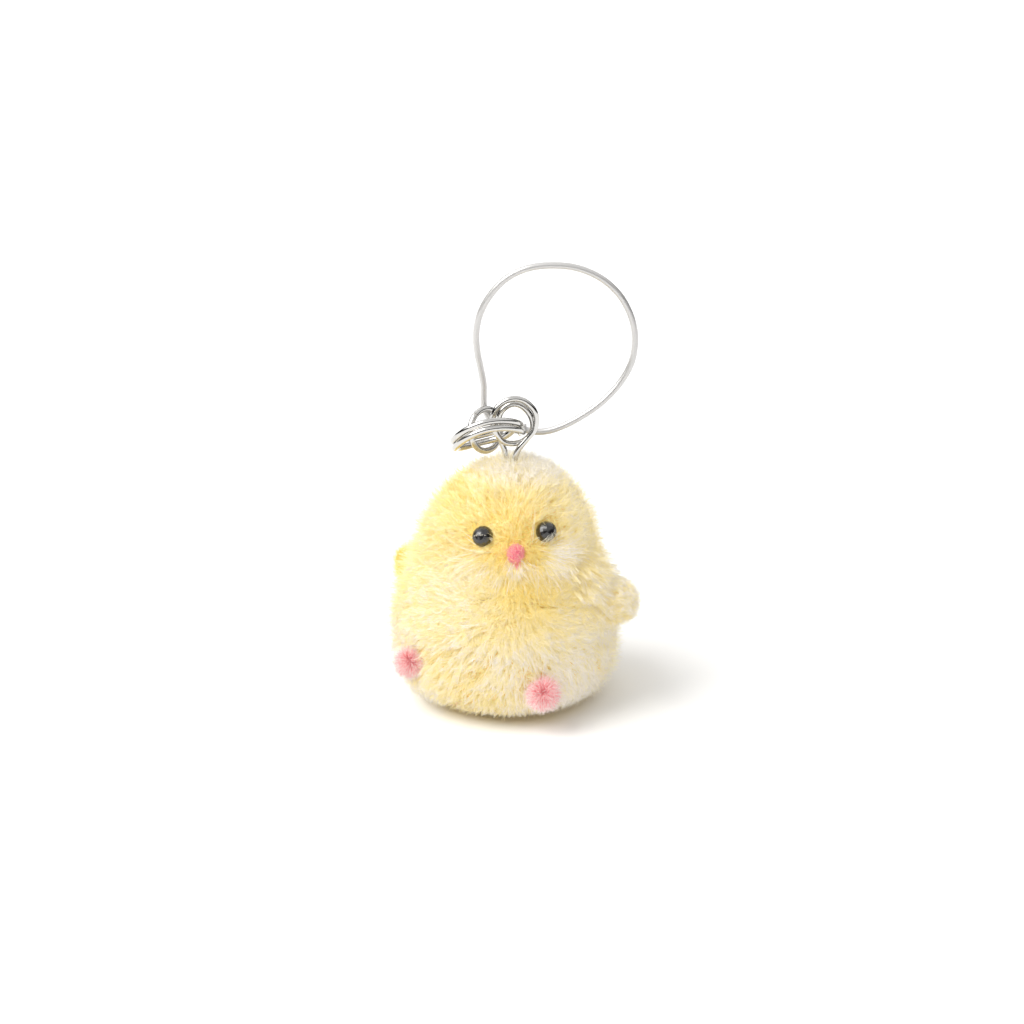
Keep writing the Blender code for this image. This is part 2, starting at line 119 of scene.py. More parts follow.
# The wall behind the object is plain white; the dark band is only what the metal reflects.
wall = studio.nodes.new("ShaderNodeBackground")
wall.inputs["Color"].default_value = (*WHITE, 1.0)
seen = studio.nodes.new("ShaderNodeLightPath")
pick = studio.nodes.new("ShaderNodeMixShader")
studio.links.new(seen.outputs["Is Camera Ray"], pick.inputs[0])
studio.links.new(sky.outputs[0], pick.inputs[1])
studio.links.new(wall.outputs[0], pick.inputs[2])
target = studio.nodes.new("ShaderNodeOutputWorld")
studio.links.new(pick.outputs[0], target.inputs[0])


# ---------------------------------------------------------------- materials
def shader_of(name, colour, roughness, metallic=0.0, specular=0.5, sheen=0.0, coat=0.0):
    """A material with its Principled shader set, and the shader."""
    made = bpy.data.materials.new(name)
    made.use_nodes = True
    made.diffuse_color = (*colour, 1.0)
    shader = made.node_tree.nodes["Principled BSDF"]
    values = (
        ("Base Color", (*colour, 1.0)),
        ("Roughness", roughness),
        ("Metallic", metallic),
        ("Specular IOR Level", specular),
        ("Sheen Weight", sheen),
        ("Sheen Roughness", 0.5),
        ("Coat Weight", coat),
        ("Coat Roughness", 0.05),
    )
    for key, value in values:
        shader.inputs[key].default_value = value
    return made, shader


def object_noise(tree, scale, detail):
    """The output of a noise texture that is fixed to the object."""
    place = tree.nodes.new("ShaderNodeTexCoord")
    node = tree.nodes.new("ShaderNodeTexNoise")
    node.inputs["Scale"].default_value = scale
    node.inputs["Detail"].default_value = detail
    tree.links.new(place.outputs["Object"], node.inputs["Vector"])
    return node.outputs[0]


def noise_into(made, socket, scale, low, high):
    """Drives a socket of the shader with noise between low and high."""
    tree = made.node_tree
    tree.links.new(map_range(tree, object_noise(tree, scale, 3.0), 0.0, 1.0, low, high), socket)


def bump_into(made, shader, scale, strength, distance):
    """Adds bump to the shader's normal."""
    tree = made.node_tree
    bump = tree.nodes.new("ShaderNodeBump")
    bump.inputs["Strength"].default_value = strength
    bump.inputs["Distance"].default_value = distance
    tree.links.new(object_noise(tree, scale, 2.0), bump.inputs["Height"])
    tree.links.new(bump.outputs[0], shader.inputs["Normal"])


def tint_into(made, shader, scale, first, second):
    """Colours the shader by noise between two colours."""
    tree = made.node_tree
    ramp = tree.nodes.new("ShaderNodeValToRGB")
    for stop, position, colour in zip(ramp.color_ramp.elements, (0.35, 0.65), (first, second)):
        stop.position = position
        stop.color = (*colour, 1.0)
    tree.links.new(object_noise(tree, scale, 4.0), ramp.inputs[0])
    tree.links.new(ramp.outputs[0], shader.inputs["Base Color"])


def pile_materials(name, colours, painted_glow):
    """Fur fibre in these shades. Each is one plain colour, with a little change in its softness along the
    coat, and a faint painted glow of its own colour that stands in for the light passing through a deep
    coat and lifts the coat's shade."""
    shades = []
    for k, colour in enumerate(colours):
        made, shader = shader_of(f"{name}_{k}", colour, 0.62, specular=0.2, sheen=0.2)
        # Painted light: the fibre glows in its own colour.
        shader.inputs["Emission Color"].default_value = (*colour, 1.0)
        shader.inputs["Emission Strength"].default_value = painted_glow
        noise_into(made, shader.inputs["Diffuse Roughness"], 900.0, 0.2, 0.9)
        shades.append(made)
    return shades


# The coat's shades, from the deep yellow at the roots to nearly white tips.
PILE_SHADES = (
    (0.97, 0.78, 0.24),
    (0.975, 0.82, 0.32),
    (0.98, 0.85, 0.40),
    (0.99, 0.87, 0.48),
    (0.99, 0.89, 0.56),
    (0.99, 0.91, 0.65),
    (0.98, 0.92, 0.77),
    (0.98, 0.94, 0.86),
)
# Beige shades of the short pile near the seat, darker than the coat: partly the pile's own cream-tan,
# partly painted shade for the underside near the floor.
SHADED_SEAT_SHADES = ((0.86, 0.64, 0.36), (0.89, 0.70, 0.44), (0.92, 0.77, 0.53), (0.94, 0.83, 0.63))
# A deeper, stronger yellow for the left arm: painted light, a lit copy of the coat's yellow for the
# brightly lit left side.
LEFT_ARM_LIT_SHADES = ((0.94, 0.68, 0.05), (0.95, 0.73, 0.08), (0.96, 0.77, 0.13), (0.97, 0.81, 0.20))
PINK_SHADES = (
    (0.96, 0.30, 0.34),
    (0.97, 0.42, 0.44),
    (0.98, 0.56, 0.57),
    (0.98, 0.72, 0.70),
    (0.98, 0.86, 0.83),
)
PILE = pile_materials("pile", PILE_SHADES, 0.16)
SHADED_SEAT = pile_materials("shaded_seat_pile", SHADED_SEAT_SHADES, 0.12)
LEFT_ARM_LIT = pile_materials("left_arm_lit_pile", LEFT_ARM_LIT_SHADES, 0.12)
PINK = pile_materials("pink_pile", PINK_SHADES, 0.16)


def cloth_material(name, first, second):
    made, shader = shader_of(name, first, 0.85, specular=0.2, sheen=0.4)
    tint_into(made, shader, 350.0, first, second)
    bump_into(made, shader, 2500.0, 0.6, 0.0002)
    return made


YELLOW_CLOTH = cloth_material("yellow_backing", (0.96, 0.72, 0.22), (0.97, 0.80, 0.36))
PINK_CLOTH = cloth_material("pink_backing", (0.84, 0.24, 0.28), (0.92, 0.42, 0.44))
BASE_CLOTH = cloth_material("base_cloth", (0.86, 0.76, 0.52), (0.92, 0.84, 0.62))
THREAD = cloth_material("thread", (0.88, 0.78, 0.48), (0.94, 0.86, 0.62))

STUFFING, stuffing_shader = shader_of("stuffing", (0.90, 0.89, 0.86), 0.9, sheen=0.3)
bump_into(STUFFING, stuffing_shader, 1200.0, 0.8, 0.0004)
WASHER, washer_shader = shader_of("washer", (0.82, 0.82, 0.80), 0.45)
noise_into(WASHER, washer_shader.inputs["Roughness"], 900.0, 0.35, 0.55)
BEAD, bead_shader = shader_of("bead_black", (0.010, 0.009, 0.009), 0.16, specular=0.6, coat=0.7)
noise_into(BEAD, bead_shader.inputs["Roughness"], 1500.0, 0.1, 0.26)
NOSE, nose_shader = shader_of("nose_flock", (0.90, 0.26, 0.33), 0.8, specular=0.2, sheen=0.5)
tint_into(NOSE, nose_shader, 900.0, (0.88, 0.22, 0.30), (0.93, 0.36, 0.40))
bump_into(NOSE, nose_shader, 4500.0, 0.8, 0.00015)
CHROME, chrome_shader = shader_of("ring_chrome", (0.63, 0.62, 0.60), 0.1, metallic=1.0)
noise_into(CHROME, chrome_shader.inputs["Roughness"], 700.0, 0.05, 0.2)
FERRULE, ferrule_shader = shader_of("ferrule_steel", (0.46, 0.45, 0.44), 0.35, metallic=1.0)
noise_into(FERRULE, ferrule_shader.inputs["Roughness"], 1500.0, 0.25, 0.45)
CORD, cord_shader = shader_of("cord_silver", (0.62, 0.61, 0.60), 0.34, metallic=0.55, coat=0.3)
noise_into(CORD, cord_shader.inputs["Roughness"], 1200.0, 0.25, 0.42)
bump_into(CORD, cord_shader, 5200.0, 0.12, 0.00006)

CAD_FINISH = {
    "body_stuffing": STUFFING,
    "head_stuffing": STUFFING,
    "left_arm_stuffing": STUFFING,
    "right_arm_stuffing": STUFFING,
    "left_foot_stuffing": STUFFING,
    "right_foot_stuffing": STUFFING,
    "body_base_panel": BASE_CLOTH,
    "neck_stitching": THREAD,
    "left_eye": BEAD,
    "right_eye": BEAD,
    "nose": NOSE,
    "left_eye_washer": WASHER,
    "right_eye_washer": WASHER,
    "nose_washer": WASHER,
    "anchor_disc": WASHER,
    "cord_ferrule": FERRULE,
}
for name, finish in CAD_FINISH.items():
    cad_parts[name].data.materials.clear()
    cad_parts[name].data.materials.append(finish)

# ---------------------------------------------------------------- floor
FLOOR_HALF = 3.0
FLOOR_CORNERS = [(x * FLOOR_HALF, y * FLOOR_HALF, 0) for x, y in ((-1, -1), (1, -1), (1, 1), (-1, 1))]
floor_mesh = bpy.data.meshes.new("floor")
floor_mesh.from_pydata(FLOOR_CORNERS, [], [(0, 1, 2, 3)])
floor = bpy.data.objects.new("floor", floor_mesh)
bpy.context.scene.collection.objects.link(floor)
FLOOR, floor_shader = shader_of("floor_paper", (0.94, 0.94, 0.945), 0.6, specular=0.1)
noise_into(FLOOR, floor_shader.inputs["Roughness"], 60.0, 0.55, 0.7)
floor_mesh.materials.append(FLOOR)


# ---------------------------------------------------------------- shared geometry, in millimetres
def smooth(points, per=12):
    """Points along a Catmull-Rom line through the given ones."""
    knots = np.array(points, float)
    out = []
    for i in range(len(knots) - 1):
        a, b = knots[max(i - 1, 0)], knots[i]
        c, d = knots[i + 1], knots[min(i + 2, len(knots) - 1)]
        for t in np.arange(per) / per:
            line = 2 * b + (c - a) * t + (2 * a - 5 * b + 4 * c - d) * t**2
            out.append(0.5 * (line + (3 * b - a - 3 * c + d) * t**3))
    out.append(knots[-1])
    return np.array(out)


def even(points, spacing):
    """The same line with its points evenly spaced."""
    steps = np.linalg.norm(np.diff(points, axis=0), axis=1)
    along = np.concatenate(([0.0], np.cumsum(steps)))
    count = max(2, round(along[-1] / spacing))
    at = np.linspace(0.0, along[-1], count + 1)
    return np.stack([np.interp(at, along, points[:, k]) for k in range(points.shape[1])], axis=1)


def unit(vectors):
    return vectors / np.maximum(np.linalg.norm(vectors, axis=-1, keepdims=True), 1e-9)


def turn_z(angle):
    c, s = math.cos(angle), math.sin(angle)
    return np.array(((c, -s, 0.0), (s, c, 0.0), (0.0, 0.0, 1.0)))


def outward(azimuth, reach, height, slope=0.0):
    """(turn, base) of a frame on the surface: its Z leaves along the azimuth and its Y points up."""
    angle = math.radians(azimuth)
    axis = np.array((math.sin(angle), -math.cos(angle), 0.0))
    axis = axis * math.cos(slope) + UP * math.sin(slope)
    side = np.cross(UP, axis)
    side /= np.linalg.norm(side)
    turn = np.stack((side, np.cross(axis, side), axis), axis=1)
    return turn, np.array((math.sin(angle) * reach, -math.cos(angle) * reach, height))


class Round:
    """A surface turned about the Z axis of a frame, from an outline of (radius, height) points."""

    STEP = 0.12  # between the outline's points
    BATCH = 4000  # points looked up at a time

    def __init__(self, outline, turn=np.eye(3), base=np.zeros(3)):
        self.line = even(smooth(outline), self.STEP)
        run = np.gradient(self.line, axis=0)
        self.out = unit(np.stack((run[:, 1], -run[:, 0]), axis=1))
        self.turn, self.base = turn, np.asarray(base, float)
        self.back = np.linalg.inv(turn)

    def at(self, index, angle):
        """Points and normals at these outline indices and angles about the axis."""
        c, s = np.cos(angle), np.sin(angle)
        r, z = self.line[index, 0], self.line[index, 1]
        nr, nz = self.out[index, 0], self.out[index, 1]
        point = np.stack((r * c, r * s, z), axis=-1) @ self.turn.T + self.base
        normal = unit(np.stack((nr * c, nr * s, nz), axis=-1) @ self.back)
        return point, normal

    def scatter(self, count, rng):
        """Points and normals at random, as many on each patch of the same area."""
        weight = self.line[:, 0] / self.line[:, 0].sum()
        index = rng.choice(len(self.line), count, p=weight)
        return self.at(index, rng.uniform(0, math.tau, count))

    def nearest(self, points):
        """The nearest points on the surface, and their normals."""
        local = (points - self.base) @ self.back.T
        r = np.hypot(local[:, 0], local[:, 1])
        angle = np.arctan2(local[:, 1], local[:, 0])
        index = np.empty(len(points), int)
        for start in range(0, len(points), self.BATCH):
            part = slice(start, start + self.BATCH)
            away = (r[part, None] - self.line[None, :, 0]) ** 2
            away += (local[part, 2, None] - self.line[None, :, 1]) ** 2
            index[part] = away.argmin(axis=1)
        return self.at(index, angle)


def place_piece(name, data, body):
    """An object of this mesh or curve, riding on a body."""
    made = bpy.data.objects.new(name, data)
    bpy.context.scene.collection.objects.link(made)
    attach(made, body)
    return made


def skin(name, surface, segments, material, body, replaced):
    """The cloth under the coat: the turned surface as a closed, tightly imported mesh."""
    most_rings = 60
    bm = bmesh.new()
    angle = np.arange(segments) * math.tau / segments
    rings = []
    for pick in np.unique(np.linspace(0, len(surface.line) - 1, most_rings).astype(int)):
        point, _ = surface.at(np.full(segments, pick), angle)
        rings.append([bm.verts.new(p * MM) for p in point])
    for low, high in zip(rings, rings[1:]):
        for i in range(segments):
            j = (i + 1) % segments
            bm.faces.new((low[i], low[j], high[j], high[i]))
    bm.faces.new(rings[0][::-1])
    bm.faces.new(rings[-1])
    bmesh.ops.remove_doubles(bm, verts=bm.verts, dist=1e-6)
    bmesh.ops.recalc_face_normals(bm, faces=bm.faces)
    mesh = bpy.data.meshes.new(name)
    bm.to_mesh(mesh)
    bm.free()
    mesh.materials.append(material)
    mesh.shade_smooth()
    made = place_piece(name, mesh, body)
    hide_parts(*replaced)
    return made


# ---------------------------------------------------------------- the coat
# How far along its length each of a fibre's four stations is, and how thick each of the first three is.
SHARE = (0.0, 0.36, 0.7, 1.0)
TAPER = (1.0, 0.92, 0.62)
MOST_IN_A_PIECE = 12000
# No fibre dips below these heights over the floor: a clump's middle line, and one fibre.
LINE_FLOOR, FIBRE_FLOOR = 0.15, 0.12


def waves(seed, scale, count=6):
    """A smooth field of values about -1 to 1, from sine waves."""
    rng = np.random.default_rng(seed)
    vectors = unit(rng.normal(size=(count, 3))) * rng.uniform(0.6, 1.4, (count, 1)) / scale
    phases = rng.uniform(0, math.tau, count)
    return lambda p: np.sin(p @ vectors.T + phases).sum(axis=-1) / math.sqrt(count)


def fibre_mesh(name, points, loops, starts, slots, materials):
    """A mesh from flat arrays."""
    mesh = bpy.data.meshes.new(name)
    mesh.vertices.add(len(points))
    mesh.vertices.foreach_set("co", (points * MM).astype(np.float32).ravel())
    mesh.loops.add(len(loops))
    mesh.loops.foreach_set("vertex_index", loops.astype(np.int32))
    mesh.polygons.add(len(starts))
    mesh.polygons.foreach_set("loop_start", starts.astype(np.int32))
    mesh.polygons.foreach_set("material_index", slots.astype(np.int32))
    mesh.polygons.foreach_set("use_smooth", np.ones(len(starts), bool))
    for material in materials:
        mesh.materials.append(material)
    mesh.update(calc_edges=True)
    return mesh


def fibres(name, path, normal, width, level, materials, body):
    """Closed tapered fibres with three sides. path is (4, count, 3), and level is the shade of each of their
    three stretches, (3, count)."""
    count = path.shape[1]
    shade = np.clip(np.round(level), 0, len(materials) - 1).astype(int)
    run = unit(np.gradient(path, axis=0))
    side = unit(np.cross(run, normal))
    over = np.cross(side, run)
    corners = []
    for k, thick in enumerate(TAPER):
        for turn in range(3):
            angle = math.tau * turn / 3 + 0.5
            push = math.cos(angle) * side[k] + math.sin(angle) * over[k]
            corners.append(path[k] + push * (width * thick / 2)[:, None])
    corners.append(path[-1])
    per = len(corners)
    points = np.stack(corners, axis=1).reshape(-1, 3)
    faces, slots = [], []
    for k in range(2):
        for turn in range(3):
            a, b = 3 * k + turn, 3 * k + (turn + 1) % 3
            faces.append((a, b, b + 3, a + 3))
            slots.append(k)
    for turn in range(3):
        faces.append((6 + turn, 6 + (turn + 1) % 3, per - 1))
        slots.append(2)
    faces.append((2, 1, 0))
    slots.append(0)
    pattern = np.concatenate([np.array(face) for face in faces])
    sizes = np.array([len(face) for face in faces])
    offsets = np.concatenate(([0], np.cumsum(sizes)[:-1]))
    pieces = math.ceil(count / MOST_IN_A_PIECE)
    for piece in range(pieces):
        low, high = count * piece // pieces, count * (piece + 1) // pieces
        n = high - low
        loops = (pattern[None, :] + per * np.arange(n)[:, None]).ravel()
        starts = (offsets[None, :] + len(pattern) * np.arange(n)[:, None]).ravel()
        chosen = shade[:, low:high][slots].T.ravel()
        label = name if pieces == 1 else f"{name}_{piece + 1}"
        mesh = fibre_mesh(label, points[per * low : per * high], loops, starts, chosen, materials)
        place_piece(label, mesh, body)


def combed(surface, root, normal, heading, reach, lift, curl):
    """Four stations of each clump's middle line, laid along the surface."""
    sunk = 0.15
    path, point, direction = [root - normal * sunk], root, heading
    for k in range(1, 4):
        step = reach * (SHARE[k] - SHARE[k - 1])
        turned = direction * np.cos(curl)[:, None] + np.cross(normal, direction) * np.sin(curl)[:, None]
        point, up = surface.nearest(point + turned * step[:, None])
        direction = unit(turned - (turned * up).sum(1, keepdims=True) * up)
        station = point + up * (lift * SHARE[k] ** 0.85)[:, None]
        station[:, 2] = np.maximum(station[:, 2], LINE_FLOOR)
        path.append(station)
    return np.stack(path)


def clump(
    name,
    path,
    normal,
    heading,
    base,
    per,
    width,
    body,
    rng,
    materials=PILE,
    slot="plush_yellow",
    spread=0.42,
    gather=0.72,
    fray=0.16,
    climb=(1.0, 2.2),
):
    """Fibres in clumps: each clump's fibres start apart, by the spread, and gather at its tip. Their shade
    starts at the base level and climbs by these steps towards the tip."""
    member = np.repeat(np.arange(path.shape[1]), per)
    m = len(member)
    offset = np.cross(normal, heading)[member] * rng.uniform(-spread, spread, (m, 1))
    offset += heading[member] * rng.uniform(-spread, spread, (m, 1))
    stray = rng.normal(0, fray, (m, 3))
    every = []
    for k, t in enumerate(SHARE):
        bump = normal[member] * (rng.uniform(-0.2, 0.25, (m, 1)) * t)
        station = path[k][member] + offset * (1 - gather * t) + stray * t + bump
        station[:, 2] = np.maximum(station[:, 2], FIBRE_FLOOR)
        every.append(station)
    thick = width * rng.uniform(0.7, 1.3, m)
    low = base[member] + rng.normal(0, 0.4, m)
    level = np.stack((low, low + climb[0], low + climb[1] + rng.uniform(0.0, 1.0, m)))
    fibres(name, np.stack(every), normal[member], thick, level, materials, body)


def coat(
    name,
    surface,
    body,
    seed,
    count,
    per,
    length,
    rise,
    width,
    comb,
    tone,
    keep=None,
    clear_of=(),
    scruff=0.18,
    **options,
):
    """A coat of clumped fibres combed along the surface, with this many clumps and fibres per clump.

    length, rise and tone take (points, normals) and give one value per clump, and comb gives a direction.
    keep takes (points, normals, rng) and says which clumps stay, and clear_of lists (spot, radius) pairs
    that no clump crosses."""
    rng = np.random.default_rng(seed)
    root, normal = surface.scatter(count, rng)
    if keep is not None:
        chosen = keep(root, normal, rng)
        root, normal = root[chosen], normal[chosen]
    n = len(root)
    heading = comb(root, normal)
    heading = unit(heading - (heading * normal).sum(1, keepdims=True) * normal)
    sway = waves(seed + 1, 3.0)(root) * 0.45
    sway += rng.normal(0, scruff, n)
    heading = heading * np.cos(sway)[:, None] + np.cross(normal, heading) * np.sin(sway)[:, None]
    reach = length(root, normal) * rng.uniform(0.75, 1.25, n)
    lift = rise(root, normal) * rng.uniform(0.7, 1.3, n)
    curl = rng.normal(0, 0.13, n)
    path = combed(surface, root, normal, heading, reach, lift, curl)
    base = tone(root, normal) + rng.normal(0, 0.35, n)
    clear = np.ones(n, bool)
    for spot, radius in clear_of:
        clear &= (np.linalg.norm(path - spot, axis=2) > radius).all(axis=0)
    path, normal, heading, base = path[:, clear], normal[clear], heading[clear], base[clear]
    clump(name, path, normal, heading, base, per, width, body, rng, **options)


def tuft(
    name,
    surface,
    body,
    seed,
    spot,
    radius,
    direction,
    length,
    rise,
    count,
    per,
    level,
    fan=0.2,
    thick=0.09,
    **options,
):
    """A fan of long fibres from one place on the surface."""
    rng = np.random.default_rng(seed)
    scattered = np.asarray(spot) + rng.normal(0, radius, (count, 3))
    root, normal = surface.nearest(scattered)
    heading = unit(np.asarray(direction, float)) + (root - spot) / radius * fan
    heading += rng.normal(0, 0.1, (count, 3))
    heading = unit(heading - (heading * normal).sum(1, keepdims=True) * normal)
    reach = length * rng.uniform(0.7, 1.2, count)
    lift = rise * rng.uniform(0.6, 1.3, count)
    path = combed(surface, root, normal, heading, reach, lift, rng.normal(0, 0.1, count))
    base = level + rng.normal(0, 0.4, count)
    clump(name, path, normal, heading, base, per, thick, body, rng, **options)


# ---------------------------------------------------------------- body and head
HEAD_TURN = turn_z(math.radians(25.4))
HEAD_LEAN = 0.055
HEAD_PIVOT_HEIGHT = 20.1
LEAN = np.array(((1.0, 0.0, HEAD_LEAN), (0.0, 1.0, 0.0), (0.0, 0.0, 1.0)))
HEAD_MATRIX = HEAD_TURN @ LEAN
HEAD_BASE = HEAD_TURN @ np.array((-HEAD_LEAN * HEAD_PIVOT_HEIGHT, 0.0, 0.0))
BODY_OUTLINE = (
    (8.8, 0.45),
    (12.0, 1.2),
    (14.3, 2.8),
    (15.8, 5.1),
    (16.5, 8.0),
    (16.5, 11.0),
    (16.0, 14.1),
    (15.1, 16.5),
    (13.8, 18.1),
    (12.0, 19.0),
    (9.4, 19.3),
)
HEAD_OUTLINE = (
    (9.4, 20.3),
    (12.0, 20.6),
    (13.0, 21.6),
    (13.25, 23.2),
    (13.05, 25.4),
    (12.5, 28.0),
    (11.5, 30.6),
    (10.1, 32.9),
    (8.0, 35.0),
    (5.4, 36.8),
    (3.3, 37.8),
    (1.4, 38.2),
    (0.05, 38.25),
)
# Where the long pile of the shoulders starts, so that it closes over the neck crease.
SHOULDER_OUTLINE = (
    (16.6, 10.0),
    (16.6, 13.0),
    (16.3, 15.6),
    (15.6, 18.0),
    (14.8, 20.2),
    (14.1, 22.5),
    (13.3, 25.4),
    (12.7, 28.0),
)
BODY = Round(BODY_OUTLINE)
HEAD = Round(HEAD_OUTLINE, HEAD_MATRIX, HEAD_BASE)
SHOULDER = Round(SHOULDER_OUTLINE)

for body, surface in (("body", BODY), ("head", HEAD)):
    replaced = (f"{body}_front_panel", f"{body}_back_panel")
    skin(f"{body}_skin", surface, 72, YELLOW_CLOTH, body, replaced)


def head_point(azimuth, height, reach=13.0):
    angle = math.radians(azimuth)
    local = np.array((math.sin(angle) * reach, -math.cos(angle) * reach, height))
    return HEAD_MATRIX @ local + HEAD_BASE


CHEST = np.array((6.1, -13.6, 20.4))
FACE = head_point(-2.0, 29.5)
EYE_SPOTS = [head_point(-27.5, 30.5, 11.75), head_point(22.0, 31.0, 11.5)]
NOSE_SPOT = head_point(-2.0, 28.4, 12.6)
FACING = HEAD_TURN @ np.array((0.0, -1.0, 0.0))
RIGHT = HEAD_TURN @ np.array((1.0, 0.0, 0.0))
ACROSS = np.array((math.cos(VIEW_AZIMUTH), math.sin(VIEW_AZIMUTH), 0.0))
# Each foot's azimuth, and its knot's distance from the axis and height.
FEET = {"left": (-40.3, 17.8, 8.6), "right": (38.2, 17.5, 6.6)}
FOOT_SPOTS = [outward(*foot)[1] for foot in FEET.values()]
FEET_CLEAR = [(FOOT_SPOTS[0], 2.95), (FOOT_SPOTS[1], 2.6)]
FEET_EDGE = [(spot, 1.9) for spot in FOOT_SPOTS]
EYES_CLEAR = [(spot, 1.75) for spot in EYE_SPOTS]
yellow_spots = waves(11, 3.6)
whorls = waves(77, 0.9)


def near(p, spot, scale):
    return np.exp(-((p - spot) ** 2).sum(1) / scale**2)


def ramp(value, start, end):
    return np.clip((value - start) / (end - start), 0.0, 1.0)


def fuller(p):
    """How much more the coat rises on the fluffier left side, and less on the right."""
    across = p @ ACROSS
    return 0.95 * ramp(-across, 5.0, 12.5) - 0.3 * ramp(across, 5.0, 12.0)


# Values over the coat: each of these gives a function of (points, normals).
def constant(value):
    return lambda p, n: np.full(len(p), value)


def grown(low, high, start, end):
    """A value that goes from low to high as the root's height goes from start to end."""
    return lambda p, n: low + (high - low) * ramp(p[:, 2], start, end)


def grown_rise(low, high, start, end):
    return lambda p, n: low + (high - low) * ramp(p[:, 2], start, end) + fuller(p) * ramp(p[:, 2], 2.0, 9.0)


def face_length(most, least, crown):
    """Short hair on the face, and another length at the crown."""

    def length(p, n):
        return most - (most - least) * near(p, FACE, 6.0) + (crown - most) * ramp(p[:, 2], 34.0, 36.8)

    return length


def crown_rise(plain, crown):
    return lambda p, n: plain + (crown - plain) * ramp(p[:, 2], 33.8, 36.6) + fuller(p)


def shifted(tone, step):
    return lambda p, n: tone(p, n) + step


# Directions of the coat.
def any_way(p, n):
    """A different direction at each root, for the undercoat."""
    angle = 3.0 * whorls(p)[:, None]
    level = unit(np.cross(n, UP + 0.01))
    return level * np.cos(angle) + np.cross(n, level) * np.sin(angle)


def body_comb(p, n):
    """Away from the chest over the front, and down elsewhere."""
    front = ramp(-(p @ np.array((-0.35, 0.94, 0.0))), 0.0, 14.0)[:, None]
    away = p - CHEST
    front = front * ramp(np.linalg.norm(away, axis=1), 0.5, 4.5)[:, None]
    away = unit(away)
    away[:, 2] = np.minimum(away[:, 2], 0.15)
    return away * front - UP * (1.1 - front)


def head_comb(p, n):
    """Away from the face over the front, and down elsewhere."""
    front = ramp(p @ FACING, -3.6, 5.4)[:, None]
    return unit(p - FACE) * front - UP * (1.1 - front)


def cheek_comb(p, n):
    return unit(p - FACE) - 0.3 * UP


# Shades of the coat.
# Painted shade: darker shades of the seat's pile towards the floor, with random patches.
def seat_shade_tone(p, n):
    return 0.8 + 0.5 * ramp(p[:, 2], 1.0, 4.0) + 0.5 * yellow_spots(p)


def body_tone(p, n):
    high = ramp(p[:, 2], 3.0, 17.0)
    # Painted shade: paler, greyer shades on the right side, away from the key light.
    shaded_side = ramp(p[:, 0], 2.0, 14.0)
    return 3.3 - 1.2 * near(p, CHEST, 5.5) - 0.8 * high + 0.9 * shaded_side + 0.9 * yellow_spots(p)


def head_tone(p, n):
    crown = ramp(p[:, 2], 35.0, 37.2)
    low = ramp(p[:, 2], 25.5, 21.0)
    # Painted shade: paler, greyer shades on the head's right side, away from the key light.
    shaded_side = ramp(p @ RIGHT, 2.0, 11.0)
    brow = near(p, FACE + UP * 3.0, 7.0)
    return 1.5 - 1.0 * brow + 3.4 * crown + 1.5 * low + 1.4 * shaded_side + 0.9 * yellow_spots(p)


# Which roots each coat keeps.
def off_base(p):
    return np.hypot(p[:, 0], p[:, 1]) > 9.4


def low_keep(p, n, rng):
    return off_base(p) & (p[:, 2] < 4.4 + rng.normal(0, 0.7, len(p)))


def body_keep(p, n, rng):
    return off_base(p) & (p[:, 2] < 16.5) & (p[:, 2] > 3.0 + rng.normal(0, 0.6, len(p)))


def body_fuzz_keep(p, n, rng):
    return (p[:, 2] < 15.5) & (p[:, 2] > 1.2)


def shoulder_keep(p, n, rng):
    top = 24.6 - 1.2 * ramp(p @ FACING, 0.0, 13.0)
    return (p[:, 2] > 14.5) & (p[:, 2] < top)


def head_keep(p, n, rng):
    clear = np.linalg.norm(p - NOSE_SPOT, axis=1) > 1.35
    for spot in EYE_SPOTS:
        clear &= np.linalg.norm(p - spot, axis=1) > 1.85
    return clear & (p[:, 2] > 21.5)


def cheek_keep(p, n, rng):
    front = ramp(p @ FACING, 0.0, 12.0)
    return (p[:, 2] > 22.5 + 1.6 * front) & (p[:, 2] < 26.0 + 1.6 * front)


coat(
    "seat_pile",
    BODY,
    "body",
    seed=20,
    count=2600,
    per=6,
    length=grown(0.6, 1.5, 0.8, 4.0),
    rise=grown(0.25, 0.5, 0.8, 4.0),
    width=0.085,
    comb=any_way,
    tone=seat_shade_tone,
    keep=low_keep,
    clear_of=FEET_EDGE,
    materials=SHADED_SEAT,
    climb=(0.6, 1.4),
)
coat(
    "body_undercoat",
    BODY,
    "body",
    seed=21,
    count=4600,
    per=4,
    length=grown(1.0, 1.6, 2.0, 5.0),
    rise=grown(0.3, 0.5, 0.5, 5.0),
    width=0.1,
    comb=any_way,
    tone=shifted(body_tone, -0.8),
    keep=body_keep,
    clear_of=FEET_EDGE,
    climb=(0.6, 1.2),
)
coat(
    "body_coat",
    BODY,
    "body",
    seed=22,
    count=4400,
    per=8,
    length=grown(1.4, 4.2, 1.5, 7.0),
    rise=grown_rise(0.35, 0.9, 0.5, 6.0),
    width=0.068,
    comb=body_comb,
    tone=body_tone,
    keep=body_keep,
    clear_of=FEET_CLEAR,
    gather=0.84,
    spread=0.5,
    climb=(1.5, 3.2),
)
coat(
    "shoulder_undercoat",
    SHOULDER,
    "body",
    seed=24,
    count=6400,
    per=4,
    length=constant(1.6),
    rise=grown_rise(0.3, 0.2, 14.0, 23.0),
    width=0.13,
    comb=any_way,
    tone=shifted(body_tone, -0.8),
    keep=shoulder_keep,
    climb=(0.6, 1.2),
)
